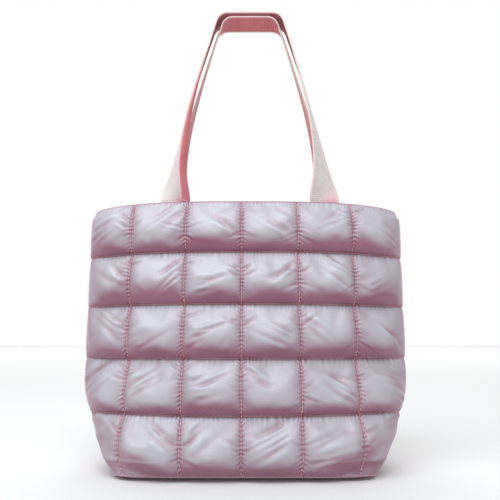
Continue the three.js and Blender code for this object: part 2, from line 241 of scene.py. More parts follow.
def add_sheet(name, side, points, normals, thickness, s, v, material):
    """A closed sheet of cloth around a middle surface."""
    rows, columns = points.shape[:2]
    half = normals * (thickness / 2)
    count = rows * columns
    stacked = np.concatenate([(points + half).reshape(-1, 3), (points - half).reshape(-1, 3)])
    faces = grid_faces(rows, columns, flip=side > 0)
    faces += grid_faces(rows, columns, flip=side < 0, first=count)
    bottom = np.arange(columns)
    right = np.arange(rows) * columns + columns - 1
    top = (rows - 1) * columns + np.arange(columns)[::-1]
    left = (np.arange(rows) * columns)[::-1]
    rim = np.concatenate([bottom, right[1:], top[1:], left[1:-1]])
    for a, b in zip(rim, np.roll(rim, -1)):
        quad = (int(a), int(a + count), int(b + count), int(b))
        faces.append(quad[::-1] if side > 0 else quad)
    piece = add_mesh(name, stacked, faces, material)
    set_uv(piece, np.tile(cloth_uv(s, v), (2, 1)))
    return piece


# ------------------------------------------------------------------ materials
def new_material(name, roughness, **sockets):
    material = bpy.data.materials.new(name)
    material.use_nodes = True
    tree = material.node_tree
    shader = tree.nodes["Principled BSDF"]
    shader.inputs["Roughness"].default_value = roughness
    for socket, value in sockets.items():
        shader.inputs[socket.replace("_", " ")].default_value = value
    return material, tree, shader


def add_node(tree, kind, inputs=None, **settings):
    node = tree.nodes.new(f"ShaderNode{kind}")
    for setting, value in settings.items():
        setattr(node, setting, value)
    for socket, value in (inputs or {}).items():
        if isinstance(value, bpy.types.NodeSocket):
            tree.links.new(value, node.inputs[socket])
        else:
            node.inputs[socket].default_value = value
    return node


def cloth_place(tree):
    return add_node(tree, "UVMap", uv_map="cloth").outputs["UV"]


def noise(tree, place, scale, detail=2.0):
    return add_node(tree, "TexNoise", {"Vector": place, "Scale": scale, "Detail": detail}).outputs["Fac"]


def ramp(tree, value, low, high, to_low=0.0, to_high=1.0):
    inputs = {"Value": value, "From Min": low, "From Max": high, "To Min": to_low, "To Max": to_high}
    return add_node(tree, "MapRange", inputs).outputs["Result"]


def mix_color(tree, share, a, b):
    node = add_node(tree, "Mix", {"Factor": share}, data_type="RGBA")
    for socket, value in ((node.inputs[6], a), (node.inputs[7], b)):
        if isinstance(value, bpy.types.NodeSocket):
            tree.links.new(value, socket)
        else:
            socket.default_value = (*value, 1)
    return node.outputs[2]


def blotches(tree, place, scale, dark, light):
    """A colour that drifts between two shades over the cloth."""
    return mix_color(tree, ramp(tree, noise(tree, place, scale), 0.3, 0.7), dark, light)


def point_value(tree, name):
    return add_node(tree, "Attribute", attribute_name=name).outputs["Fac"]


def threads(tree, place, pitch):
    """The height of a plain weave, a thread every pitch both ways."""
    scale = 2 * math.pi / (20 * pitch)
    inputs = {"Vector": place, "Scale": scale}
    warp = add_node(tree, "TexWave", inputs, bands_direction="X").outputs["Fac"]
    weft = add_node(tree, "TexWave", inputs, bands_direction="Y").outputs["Fac"]
    return add_node(tree, "Math", {0: warp, 1: weft}, operation="MULTIPLY").outputs[0]


def bump(tree, height, distance, strength=1.0, normal=None):
    inputs = {"Height": height, "Distance": distance, "Strength": strength}
    if normal:
        inputs["Normal"] = normal
    return add_node(tree, "Bump", inputs).outputs["Normal"]


def satin_nylon():
    material, tree, shader = new_material(
        "satin_nylon", 0.5, Metallic=0.18, Specular_IOR_Level=0.6, Sheen_Weight=0.5, Sheen_Roughness=0.4,
        Sheen_Tint=(0.86, 0.95, 1, 1), Coat_Weight=0.15, Coat_Roughness=0.5, Coat_Tint=(0.9, 0.97, 1, 1),
    )
    place = cloth_place(tree)
    # silver is the painted lit colour and rose the painted shade of one satin; the blotches in each are the
    # cloth's own random tone
    painted_lit_silver = blotches(tree, place, 16, (0.49, 0.47, 0.53), (0.56, 0.56, 0.62))
    painted_shade_rose = blotches(tree, place, 16, (0.27, 0.095, 0.15), (0.32, 0.13, 0.19))
    base = mix_color(tree, point_value(tree, "painted_light"), painted_shade_rose, painted_lit_silver)
    # painted shade: a dark rose mixed in where the cloth is pinched at seams and dents, and on the turned hem
    # and inner face
    base = mix_color(tree, point_value(tree, "crease_shade"), base, (0.36, 0.08, 0.13))
    tree.links.new(base, shader.inputs["Base Color"])
    fine = noise(tree, place, 260)
    tree.links.new(ramp(tree, fine, 0.3, 0.7, 0.44, 0.56), shader.inputs["Roughness"])
    weave = bump(tree, threads(tree, place, 0.0005), 0.00003, 0.25)
    grain = bump(tree, noise(tree, place, 900), 0.00005, 0.3, weave)
    tree.links.new(grain, shader.inputs["Normal"])
    return material


def plain_cloth(name, dark, light, roughness, pitch):
    material, tree, shader = new_material(name, roughness, Sheen_Weight=0.25, Sheen_Roughness=0.5)
    place = cloth_place(tree)
    tree.links.new(blotches(tree, place, 30, dark, light), shader.inputs["Base Color"])
    weave = bump(tree, threads(tree, place, pitch), 0.00012, 0.6)
    tree.links.new(weave, shader.inputs["Normal"])
    return material


def grosgrain():
    material, tree, shader = new_material("webbing", 0.62, Sheen_Weight=0.3, Sheen_Roughness=0.5)
    place = cloth_place(tree)
    face = blotches(tree, place, 60, (0.66, 0.58, 0.58), (0.73, 0.66, 0.65))
    # the pale face is the lit colour of the webbing; the coral is painted shade, put on the webbing's reverse
    # face
    coral_shade = blotches(tree, place, 60, (0.52, 0.11, 0.13), (0.60, 0.15, 0.17))
    color = mix_color(tree, point_value(tree, "reverse_shade"), face, coral_shade)
    # painted rosy shade on the webbing near the root of each leg, fading towards one edge
    color = mix_color(tree, point_value(tree, "root"), color, (0.72, 0.27, 0.33))
    # painted highlight: paler webbing along both edges
    color = mix_color(tree, point_value(tree, "selvedge_highlight"), color, (0.93, 0.72, 0.70))
    tree.links.new(color, shader.inputs["Base Color"])
    yarn = bump(tree, threads(tree, place, 0.0007), 0.00010, 0.7)
    tree.links.new(yarn, shader.inputs["Normal"])
    return material


def sewing_thread():
    material, tree, shader = new_material("sewing_thread", 0.5, Sheen_Weight=0.2)
    place = add_node(tree, "TexCoord").outputs["Object"]
    color = blotches(tree, place, 300, (0.80, 0.42, 0.44), (0.95, 0.68, 0.68))
    tree.links.new(color, shader.inputs["Base Color"])
    tree.links.new(bump(tree, noise(tree, place, 2500), 0.0001, 0.5), shader.inputs["Normal"])
    return material


def nickel():
    material, tree, shader = new_material("nickel", 0.28, Metallic=1.0)
    place = add_node(tree, "TexCoord").outputs["Object"]
    wear = ramp(tree, noise(tree, place, 400, 4), 0.35, 0.75)
    tree.links.new(mix_color(tree, wear, (0.62, 0.60, 0.57), (0.78, 0.77, 0.75)), shader.inputs["Base Color"])
    tree.links.new(ramp(tree, noise(tree, place, 900, 4), 0.3, 0.7, 0.2, 0.38), shader.inputs["Roughness"])
    return material


SATIN = satin_nylon()
LINING = plain_cloth("lining_taffeta", (0.50, 0.25, 0.33), (0.58, 0.31, 0.39), 0.6, 0.0006)
WEBBING = grosgrain()
THREAD = sewing_thread()
NICKEL = nickel()


# ------------------------------------------------------------------ quilted panels
SIM_STEPS = 22  # simulated cloth vertices per pillow
FINE_ROWS = 76  # rows of the finished mesh per pillow
FINE_COLUMNS = 40  # columns of the finished mesh per pillow
INNER_ROWS = 3  # rows of the flat inner face per pillow
PILLOW_RISE = 0.0150
SEAM_SHARE = 0.70  # how much of the rise is left at an upright seam
SIDE_RISE = 0.0045  # height of the nearly straight fold along each side of the bag
SIDE_REACH = 0.042
GUSSET = 0.060  # the boxed side below stays flat this far from the side seam
GUSSET_HEIGHT = 0.090
SIDE_FOLD_EASE = 0.050  # the side fold grows over this height from the bottom
MOUTH_EASE = 0.014
ROW_SETTLE = 0.74  # below 1 the fullest part of a row is below its middle
ROW_FULLNESS = 0.72
SEAM_VALLEY = 0.0085
CORNER_START = 0.085
CORNER_EASE = 0.050
CORNER_HEIGHT = 0.034
GATHER_DEPTH = 0.00046
GATHER_BELOW = 0.0072  # how far the gathers reach below a level seam
GATHER_ABOVE = 0.0048
STITCH = 0.0048
FINE_STITCH = STITCH * 2 / 3
PUCKER_DEPTH = 0.00058
PUCKER_FAN = 37.0  # puckers spread by this share per metre away from the seam
HEM_ROWS = 6
HEM_TURN = math.radians(150)
HEM_STEP = 0.0008
HEM_HEIGHT = 0.0013
HEM_SHADE = 0.7  # how far the turned cloth takes the painted crease shade
HEM_GAP = 0.0001  # from the middle of the mouth seam to the cloth on either side
STRAP_ROOM = 0.0010  # how far the seam opens to either side of the webbing
DENT_SHADE = 0.35  # the share of a dent's depth that counts towards the painted crease shade
EDGE_EASE = 0.004  # the wrinkles die away this far from the bottom and the mouth
INNER_OFFSET = 0.0003  # the panel's flat inner face, from the wall line
PAINTED_LIGHT_LEVEL = 0.52  # a higher level paints more of each pillow in the silver lit colour
PAINTED_LIGHT_SOFTNESS = 0.66
PAINTED_LIGHT_PATCHES = 0.30
SIDE_SEAM_GAP = 0.00002  # the two panels' cloth meets at the side seams


def seam_positions():
    seams = np.array([(i - COLUMNS / 2) * COLUMN for i in range(COLUMNS + 1)])
    seams[1:-1] += QUILT_SHIFT
    return seams


SEAMS = seam_positions()


def column_stations(steps, crowding=0.0):
    """Stations across the panel, crowded towards the seams."""
    t = np.arange(steps) / steps
    t = t - crowding * np.sin(2 * np.pi * t) / (2 * np.pi)
    parts = [a + (b - a) * t for a, b in zip(SEAMS, SEAMS[1:])]
    return np.concatenate([*parts, [HALF_GIRTH]])


def row_profile(v):
    """Rise of a row of quilting: the filling settles, so it is fullest below its middle."""
    t = np.clip(v / ROW - np.floor(np.minimum(v / ROW, ROWS - 1e-9)), 0, 1)
    return np.abs(np.sin(np.pi * t**ROW_SETTLE)) ** ROW_FULLNESS


def column_profile(s):
    inner = np.min(np.abs(s[:, None] - SEAMS[None, 1:-1]), axis=1)
    return 1 - (1 - SEAM_SHARE) * np.exp(-((inner / SEAM_VALLEY) ** 1.15))


def stitched_surface(side, s, v):
    """The panel with its pillows and none of its wrinkles, and its outward normals."""
    wall = wall_grid(side, s, v)
    normals = grid_normals(side, wall)
    level = row_profile(v)[:, None]
    ends = (smooth(v / SIDE_FOLD_EASE) * smooth((WALL_HEIGHT - v) / MOUTH_EASE))[:, None]
    side_fold = SIDE_RISE * (0.75 + 0.25 * level) * ends
    flat = GUSSET * (1 - smooth(v / GUSSET_HEIGHT))[:, None]
    share = smooth((HALF_GIRTH - np.abs(s)[None, :] - flat) / SIDE_REACH)
    pillow = PILLOW_RISE * level * column_profile(s)[None, :]
    at_corner = smooth((np.abs(s) - CORNER_START) / CORNER_EASE)[None, :]
    pillow = pillow * (1 - at_corner * (1 - smooth(v / CORNER_HEIGHT))[:, None])
    rise = SEAM_PACK + side_fold + (pillow - side_fold) * share
    return wall + normals * rise[..., None], normals


def settle_cloth(piece, pinned, frames, excess):
    """Runs the cloth under the pressure of the filling and returns where its vertices settle."""
    group = piece.vertex_groups.new(name="stitches")
    group.add([int(i) for i in np.flatnonzero(pinned)], 1.0, "REPLACE")
    modifier = piece.modifiers.new("cloth", "CLOTH")
    settings = modifier.settings
    settings.quality = 5
    settings.mass = 0.05
    settings.tension_stiffness = 25
    settings.compression_stiffness = 25
    settings.shear_stiffness = 6
    settings.bending_stiffness = 0.3
    settings.air_damping = 2
    settings.vertex_group_mass = "stitches"
    settings.shrink_min = -excess
    settings.use_pressure = True
    settings.uniform_pressure_force = 3.0
    settings.effector_weights.gravity = 0.15
    modifier.collision_settings.use_collision = False
    modifier.point_cache.frame_start = 1
    modifier.point_cache.frame_end = frames
    scene = bpy.context.scene
    for number in range(1, frames + 1):
        scene.frame_set(number)
    evaluated = piece.evaluated_get(bpy.context.evaluated_depsgraph_get())
    settled = np.zeros(len(piece.data.vertices) * 3)
    evaluated.data.vertices.foreach_get("co", settled)
    piece.modifiers.remove(modifier)
    scene.frame_set(1)
    return settled.reshape(-1, 3)


def soften(values, times):
    """Averages each grid value with its neighbours."""
    for _ in range(times):
        for axis in (0, 1):
            ahead = np.roll(values, 1, axis)
            behind = np.roll(values, -1, axis)
            values = 0.5 * values + 0.25 * (ahead + behind)
    return values


def cloth_offsets(name, side):
    """How far the simulated cloth moves away from the stitched surface, on its own grid."""
    s = column_stations(SIM_STEPS)
    v = np.linspace(0, WALL_HEIGHT, ROWS * SIM_STEPS + 1)
    start, normals = stitched_surface(side, s, v)
    rows, columns = start.shape[:2]
    pinned = np.zeros((rows, columns), bool)
    pinned[::SIM_STEPS] = True
    pinned[:, ::SIM_STEPS] = True
    rng = np.random.default_rng(11 if side < 0 else 12)
    nudge = np.where(pinned, 0, rng.normal(0, 0.00025, (rows, columns)))
    points = start + normals * nudge[..., None]
    piece = add_mesh(f"{name}_sim", points, grid_faces(rows, columns, flip=side > 0))
    settled = settle_cloth(piece, pinned.ravel(), frames=22, excess=0.022)
    bpy.data.objects.remove(piece)
    offset = np.where(pinned[..., None], 0, soften(settled.reshape(rows, columns, 3) - start, 2))
    out = np.einsum("rci,rci->rc", offset, normals)
    along = offset - out[..., None] * normals
    return s, v, np.clip(out, -0.005, 0.004), np.clip(along, -0.006, 0.006)


def resample(values, s, v, new_s, new_v):
    """Smooth interpolation of a grid of values onto finer stations."""
    def weights(old, new):
        index = np.clip(np.searchsorted(old, new, side="right") - 1, 0, len(old) - 2)
        t = (new - old[index]) / (old[index + 1] - old[index])
        picks = np.clip(index[:, None] + np.arange(-1, 3)[None, :], 0, len(old) - 1)
        t = t[:, None]
        cubic = np.concatenate([
            -0.5 * t + t**2 - 0.5 * t**3,
            1 - 2.5 * t**2 + 1.5 * t**3,
            0.5 * t + 2 * t**2 - 1.5 * t**3,
            -0.5 * t**2 + 0.5 * t**3,
        ], axis=1)
        return picks, cubic

    picks, cubic = weights(v, new_v)
    values = np.einsum("rk,rk...->r...", cubic, values[picks])
    picks, cubic = weights(s, new_s)
    swapped = np.swapaxes(values, 0, 1)
    swapped = np.einsum("ck,ck...->c...", cubic, swapped[picks])
    return np.swapaxes(swapped, 0, 1)


def wander(rng, x, step):
    """Smooth random values between -1 and 1 along x, changing over about one step."""
    knots = np.arange(x.min() - 2 * step, x.max() + 3 * step, step)
    values = rng.uniform(-1, 1, len(knots))
    t = (x - knots[0]) / step
    index = t.astype(int)
    t = smooth(t - index)
    return values[index] * (1 - t) + values[index + 1] * t


def stitch_puckers(rng, s, v):
    """Gathers across each upright seam, fanning out from the middle of each row."""
    height = np.zeros((len(v), len(s)))
    row = np.minimum(np.floor(v / ROW), ROWS - 1)
    middle = (row + 0.52) * ROW
    for seam in SEAMS:
        at_side = abs(seam) > HALF_GIRTH - 0.001
        distance = np.abs(s - seam)[None, :]
        along = middle[:, None] + (v - middle)[:, None] / (1 + PUCKER_FAN * distance)
        drift = 0.25 * wander(rng, v, 0.02)[:, None]
        wave = np.cos(2 * np.pi * (along / STITCH + drift))
        reach = 0.0046 + 0.0022 * wander(rng, v, 0.009)[:, None]
        strength = 1 + 0.55 * wander(rng, v, 0.007)[:, None]
        fade = np.exp(-((distance / reach) ** 2))
        depth = PUCKER_DEPTH * (0.5 if at_side else 1.0)
        height += depth * strength * fade * (wave - 0.35)
        height -= 0.0008 * np.exp(-((distance / 0.0013) ** 2))
    return height


def groove(s, v, start, direction, length, width, depth):
    """A soft crease that deepens away from its start on the cloth and then dies away."""
    ds = s[None, :] - start[0]
    dv = v[:, None] - start[1]
    along = ds * direction[0] + dv * direction[1]
    across = -ds * direction[1] + dv * direction[0]
    body = np.exp(-((across / width) ** 2)) - 0.5 * np.exp(-(((across - 1.9 * width) / width) ** 2))
    run = np.clip(along / length, 0, None)
    fade = 2.33 * run * np.exp(-(run**2))
    return -depth * body * fade


def v_dents(rng, s, v):
    """Short deep creases that run off the upright seams in a V."""
    height = np.zeros((len(v), len(s)))
    for seam in SEAMS[1:-1]:
        for row in range(ROWS):
            for _ in range(rng.integers(1, 3)):
                t = rng.uniform(0.25, 0.78)
                start = (seam, (row + t) * ROW)
                slope = math.radians(rng.uniform(14, 38)) * (1 if t > 0.4 else -1)
                for direction in (-1, 1):
                    aim = (direction * math.cos(slope), math.sin(slope))
                    reach = rng.uniform(0.008, 0.017)
                    depth = rng.uniform(0.0004, 0.0017)
                    width = rng.uniform(0.0016, 0.0028)
                    height += groove(s, v, start, aim, reach, width, depth)
    return height


def slanting_dents(rng, s, v):
    """A fan of long creases from one side of each pillow."""
    height = np.zeros((len(v), len(s)))
    for row in range(ROWS):
        for a, b in zip(SEAMS, SEAMS[1:]):
            seam, into = (a, 1) if rng.uniform() < 0.5 else (b, -1)
            rising = rng.uniform() < 0.55
            fan = math.radians(rng.uniform(18, 48)) * (1 if rising else -1)
            first = rng.uniform(0.10, 0.35) if rising else rng.uniform(0.55, 0.80)
            for number in range(rng.integers(3, 6)):
                start = (seam + into * rng.uniform(0.001, 0.018), (row + first + 0.11 * number) * ROW)
                angle = fan + math.radians(rng.uniform(-9, 9))
                aim = (into * math.cos(angle), math.sin(angle))
                reach = rng.uniform(0.012, 0.030)
                depth = rng.uniform(0.0007, 0.0021)
                width = rng.uniform(0.0017, 0.0042)
                height += groove(s, v, start, aim, reach, width, depth)
    return height


def row_gathers(rng, s, v):
    """Small gathers on both sides of each level seam, the deeper ones below it."""
    height = np.zeros((len(v), len(s)))
    for row in range(1, ROWS + 1):
        below = row * ROW - v
        lower = np.where(below >= 0, np.exp(-((below / GATHER_BELOW) ** 2)), 0)
        upper = np.where(below < 0, 0.7 * np.exp(-((below / GATHER_ABOVE) ** 2)), 0)
        fade = (lower + upper)[:, None]
        phase = 2 * np.pi * (s / STITCH + 0.8 * wander(rng, s, 0.02))[None, :]
        strength = GATHER_DEPTH * (1 + 0.8 * wander(rng, s, 0.012))[None, :]
        height += fade * strength * np.sin(phase)
        height -= 0.0009 * np.exp(-((below / 0.0011) ** 2))[:, None]
    return height


def leg_places(name):
    return HANDLE_CENTRE_X - HANDLE_LEG_X[name], HANDLE_CENTRE_X + HANDLE_LEG_X[name]


def strap_share(name, s):
    """1 where a handle comes out of the mouth seam, 0 away from the handles."""
    share = np.zeros(len(s))
    for leg_x in leg_places(name):
        reach = np.abs(s - leg_x * 1.01) - WEBBING_WIDTH / 2
        share = np.maximum(share, 1 - smooth((reach - 0.001) / 0.005))
    return share


def turned_edge(edge, normals, reach, height):
    """Rows of cloth that turn over at the mouth, from the row edge to reach along the normals."""
    rows = []
    for k in range(1, HEM_ROWS + 1):
        angle = HEM_TURN * k / HEM_ROWS
        across = reach * (1 - math.cos(angle)) / (1 - math.cos(HEM_TURN))
        lift = np.zeros_like(edge)
        lift[:, 2] = height * math.sin(angle)
        rows.append(edge + normals * across[:, None] + lift)
    return np.stack(rows)


def crease_shade_values(detail):
    """Painted shade where the cloth is pinched: 0 on open cloth, 1 deep in the stitching."""
    return np.clip((0.0002 - detail) / 0.0022, 0, 1)


def painted_light_values(rng, s, v, facing):
    """Painted light on the satin: 1 paints the silver lit colour where the cloth faces up, 0 the rose painted
    shade where it turns under, towards the sides of the bag and near the upright seams; random patches shift
    the line between them.
    """
    patches = wander(rng, s, 0.03)[None, :] * wander(rng, v, 0.02)[:, None]
    at_side = smooth((np.abs(facing[..., 0]) - 0.25) / 0.7)
    to_seam = np.min(np.abs(s[:, None] - SEAMS[None, 1:-1]), axis=1)[None, :]
    upturned = smooth((facing[..., 2] + PAINTED_LIGHT_LEVEL + PAINTED_LIGHT_PATCHES * patches) / PAINTED_LIGHT_SOFTNESS)
    return upturned * (1 - 0.6 * at_side) * (1 - 0.35 * np.exp(-((to_seam / 0.011) ** 2)))


def quilted_panel(name):
    side = SIDES[name]
    s = column_stations(FINE_COLUMNS, crowding=0.55)
    v = np.linspace(0, WALL_HEIGHT, ROWS * FINE_ROWS + 1)
    surface, normals = stitched_surface(side, s, v)
    sim_s, sim_v, out, along = cloth_offsets(name, side)
    surface = surface + normals * resample(out, sim_s, sim_v, s, v)[..., None]
    surface = surface + resample(along, sim_s, sim_v, s, v)
    rng = np.random.default_rng(21 if side < 0 else 22)
    pinched = stitch_puckers(rng, s, v) + row_gathers(rng, s, v)
    dents = v_dents(rng, s, v) + slanting_dents(rng, s, v)
    detail = pinched + dents
    edge = np.minimum(v, WALL_HEIGHT - v)[:, None]
    detail *= np.clip(edge / EDGE_EASE, 0, 1)
    facing = grid_normals(side, surface)
    surface = surface + facing * detail[..., None]
    turned = 0.7 * facing + 0.3 * grid_normals(side, surface)
    surface[..., 1] = side * np.maximum(side * surface[..., 1], SIDE_SEAM_GAP)
    surface[..., 2] = np.maximum(surface[..., 2], BOTTOM_SEAM_Z)

    slit = -SEWN_SPACE / 2 + HEM_GAP + STRAP_ROOM * strap_share(name, s)
    hem = turned_edge(surface[-1], normals[-1], slit - SEAM_PACK, HEM_HEIGHT)
    outer = np.concatenate([surface, hem])
    outer_v = np.concatenate([v, WALL_HEIGHT + HEM_STEP * np.arange(1, HEM_ROWS + 1)])
    inner_v = np.linspace(0, WALL_HEIGHT, ROWS * INNER_ROWS + 1)
    inner_wall = wall_grid(side, s, inner_v)
    inner = inner_wall + grid_normals(side, inner_wall) * INNER_OFFSET
    inner[..., 1] = side * np.maximum(side * inner[..., 1], SIDE_SEAM_GAP)
    points = np.concatenate([outer.reshape(-1, 3), inner.reshape(-1, 3)])
    first = outer.shape[0] * len(s)
    faces = grid_faces(outer.shape[0], len(s), flip=side > 0)
    faces += grid_faces(len(inner_v), len(s), flip=side < 0, first=first)
    faces += panel_rims(side, outer.shape[0], len(v), len(inner_v), len(s))
    piece = add_mesh(f"{name}_panel", points, faces, SATIN)
    set_uv(piece, np.concatenate([cloth_uv(s, outer_v), cloth_uv(s, inner_v)]))
    plain = np.zeros((HEM_ROWS + len(inner_v), len(s)))
    crease_shade = crease_shade_values(pinched + DENT_SHADE * dents)
    set_values(piece, "crease_shade", np.concatenate([crease_shade, plain + HEM_SHADE]))
    # painted light: silver where the cloth faces up, rose painted shade where it turns down
    painted_light = painted_light_values(rng, s, v, turned)
    set_values(piece, "painted_light", np.concatenate([painted_light, plain]))
    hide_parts(f"{name}_shell", f"{name}_wadding")
    on_bag(piece)
    return surface, facing


def panel_rims(side, outer_rows, wall_rows, inner_rows, columns):
    """Closes the panel between its outer and inner face, along all four edges."""
    first = outer_rows * columns
    faces = []
    for c in range(columns - 1):
        faces.append((c, first + c, first + c + 1, c + 1))
        top = (outer_rows - 1) * columns + c
        inner_top = first + (inner_rows - 1) * columns + c
        faces.append((top, top + 1, inner_top + 1, inner_top))
    for column in (0, columns - 1):
        fine = (wall_rows - 1) // (inner_rows - 1)
        for r in range(inner_rows - 1):
            last = (r + 1) * fine if r < inner_rows - 2 else outer_rows - 1
            edge = [row * columns + column for row in range(r * fine, last + 1)]
            inner = [first + (r + 1) * columns + column, first + r * columns + column]
            face = edge + inner
            faces.append(tuple(face[::-1] if column == 0 else face))
    return faces if side < 0 else [face[::-1] for face in faces]


PANELS = {name: quilted_panel(name) for name in SIDES}

# ------------------------------------------------------------------ quilting thread
THREAD_RADIUS = 0.00038
STITCH_SHARE = 0.72  # how much of each stitch lies on the surface
STITCH_RINGS = 5
STITCH_SIDES = 6


def stitches_along(path, normals, length):
    """Rings of points for each stitch on a line of stitching, shaped (stitches, rings, sides, 3)."""
    step = np.linalg.norm(np.diff(path, axis=0), axis=1)
    run = np.concatenate([[0], np.cumsum(step)])
    count = int(run[-1] / length)
    t = np.linspace(0, 1, STITCH_RINGS)
    at = (np.arange(count)[:, None] + (1 - STITCH_SHARE) / 2 + STITCH_SHARE * t[None, :]) * (run[-1] / count)
    centre = np.stack([np.interp(at, run, path[:, i]) for i in range(3)], axis=-1)
    up = np.stack([np.interp(at, run, normals[:, i]) for i in range(3)], axis=-1)
    up /= np.linalg.norm(up, axis=-1, keepdims=True)
    along = centre[:, -1:] - centre[:, :1]
    along = along / np.linalg.norm(along, axis=-1, keepdims=True)
    sideways = np.cross(along, up)
    sideways /= np.linalg.norm(sideways, axis=-1, keepdims=True)
    lift = THREAD_RADIUS * (np.clip(np.sin(np.pi * t), 0, 1) ** 0.5 * 2.4 - 0.8)
    centre = centre + up * lift[None, :, None]
    angle = np.arange(STITCH_SIDES) * 2 * np.pi / STITCH_SIDES
    across = sideways[:, :, None] * np.cos(angle)[None, None, :, None]
    outwards = up[:, :, None] * np.sin(angle)[None, None, :, None]
    return centre[:, :, None] + THREAD_RADIUS * (across + outwards)


def add_stitches(name, lines):
    rings = np.concatenate([stitches_along(path, normals, length) for path, normals, length in lines])
    per_stitch = STITCH_RINGS * STITCH_SIDES
    faces = []
    for number in range(len(rings)):
        faces += tube_faces(STITCH_RINGS, STITCH_SIDES, first=number * per_stitch)
    piece = add_mesh(name, rings, faces, THREAD)
    on_bag(piece)
    return piece


def quilt_lines(surface, facing):
    lines = []
    for i in range(1, COLUMNS):
        column = i * FINE_COLUMNS
        lines.append((surface[3:-3, column], facing[3:-3, column], STITCH))
    for i in range(1, ROWS):
        row = i * FINE_ROWS
        lines.append((surface[row, 3:-3], facing[row, 3:-3], FINE_STITCH))
    for column in (3, surface.shape[1] - 4):
        lines.append((surface[8:-8, column], facing[8:-8, column], FINE_STITCH))
    lines.append((surface[2, 6:-6], facing[2, 6:-6], FINE_STITCH))
    return lines


for panel_name, panel in PANELS.items():
    add_stitches(f"{panel_name}_quilting_thread", quilt_lines(*panel))

# ------------------------------------------------------------------ facings, linings and pocket
SHEET_THICKNESS = 0.0006
HANG_STATIONS = 181
FACING_EDGE_HEIGHT = 0.0009


def hanging_ripples(rng, s, v, depth, spacing):
    """Soft upright ripples of a cloth that hangs from its upper edge."""
    phase = 2 * np.pi * (s / spacing + 0.7 * wander(rng, s, spacing * 1.3))[None, :]
    drift = 0.5 * wander(rng, v, 0.08)[:, None]
    free = smooth((v.max() - v) / (v.max() - v.min()) * 3)[:, None]
    tilt = 0.5 * (1 + np.cos(phase + drift * 2))
    return -depth * free * tilt * (0.7 + 0.3 * wander(rng, s, 0.05))[None, :]


def inner_points(side, s, v, offset):
    """Points at an offset from the wall, which may vary over the grid, and their normals."""
    wall = wall_grid(side, s, v)
    normals = grid_normals(side, wall)
    points = wall + normals * np.broadcast_to(offset, wall.shape[:2])[..., None]
    points[..., 1] = side * np.maximum(side * points[..., 1], SHEET_THICKNESS / 2 + SIDE_SEAM_GAP)
    return points, normals


def lining(name):
    side = SIDES[name]
    s = np.linspace(-HALF_GIRTH, HALF_GIRTH, HANG_STATIONS)
    top = WALL_HEIGHT - FACING_DEPTH
    v = np.linspace(0, top, 90)
    rng = np.random.default_rng(31 if side < 0 else 32)
    clear = smooth((HALF_GIRTH - np.abs(s)) / 0.05)[None, :]
    depth = hanging_ripples(rng, s, v, 0.0016, 0.034) * clear
    if side > 0:
        under_pocket = smooth((np.abs(s - QUILT_SHIFT) - COLUMN) / 0.012)[None, :]
        depth = depth * under_pocket
    points, normals = inner_points(side, s, v, -0.0006 + depth)
    points[..., 2] = np.maximum(points[..., 2], BOTTOM_SEAM_Z + 0.0015)
    piece = add_sheet(f"{name}_lining_cloth", side, points, normals, SHEET_THICKNESS, s, v, LINING)
    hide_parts(f"{name}_lining")
    on_bag(piece)


def facing(name):
    """The band behind the mouth edge. Its upper edge is turned under and meets the panel's hem."""
    side = SIDES[name]
    s = column_stations(36)
    bottom = WALL_HEIGHT - FACING_DEPTH
    v = np.linspace(bottom, WALL_HEIGHT, 40)
    rng = np.random.default_rng(41 if side < 0 else 42)
    depth = -SEWN_SPACE - CLOTH / 2
    ripple = 0.0003 * wander(rng, s, 0.02)[None, :] * smooth((WALL_HEIGHT - v) / 0.02)[:, None]
    snap = np.hypot(s[None, :] - QUILT_SHIFT, (v - WALL_HEIGHT + SNAP_DEPTH_BELOW_MOUTH)[:, None])
    points, normals = inner_points(side, s, v, depth + ripple * smooth(snap / 0.02 - 0.6))
    slit = -SEWN_SPACE / 2 - HEM_GAP - STRAP_ROOM * strap_share(name, s)
    turned = turned_edge(points[-1], normals[-1], slit - depth, FACING_EDGE_HEIGHT)
    points = np.concatenate([points, turned])
    normals = np.concatenate([normals, np.repeat(normals[-1:], HEM_ROWS, axis=0)])
    v = np.concatenate([v, WALL_HEIGHT + HEM_STEP * np.arange(1, HEM_ROWS + 1)])
    piece = add_sheet(f"{name}_facing_band", side, points, normals, 0.0004, s, v, LINING)
    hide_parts(f"{name}_facing")
    on_bag(piece)
    stitched = points[3, 3:-3] - normals[3, 3:-3] * 0.0003
    add_stitches(f"{name}_facing_thread", [(stitched, -normals[3, 3:-3], FINE_STITCH)])


def slip_pocket():
    s = QUILT_SHIFT + np.linspace(-COLUMN, COLUMN, 97)
    v = np.linspace(POCKET_BOTTOM, POCKET_TOP, 91)
    rng = np.random.default_rng(51)
    across = 1 - (np.abs(s - QUILT_SHIFT) / COLUMN) ** 4
    up = smooth((v - POCKET_BOTTOM) / (POCKET_TOP - POCKET_BOTTOM) * 1.5)
    gape = -0.0022 * across[None, :] * up[:, None]
    ripple = -0.0005 * (1 + wander(rng, s, 0.018))[None, :] * across[None, :]
    hem = -0.0006 * smooth((v - POCKET_TOP + 0.0125) / 0.0012)[:, None]
    points, normals = inner_points(1, s, v, -0.0020 + gape + ripple + hem)
    piece = add_sheet("slip_pocket_cloth", 1, points, normals, SHEET_THICKNESS, s, v, LINING)
    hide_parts("slip_pocket")
    on_bag(piece)
    inwards = points - normals * (SHEET_THICKNESS / 2)
    left = (inwards[2:-2, 2], -normals[2:-2, 2], FINE_STITCH)
    right = (inwards[2:-2, -3], -normals[2:-2, -3], FINE_STITCH)
    bottom = (inwards[2, 2:-2], -normals[2, 2:-2], FINE_STITCH)
    hem_line = (inwards[-9, 2:-2], -normals[-9, 2:-2], FINE_STITCH)
    add_stitches("slip_pocket_thread", [left, right, bottom, hem_line])


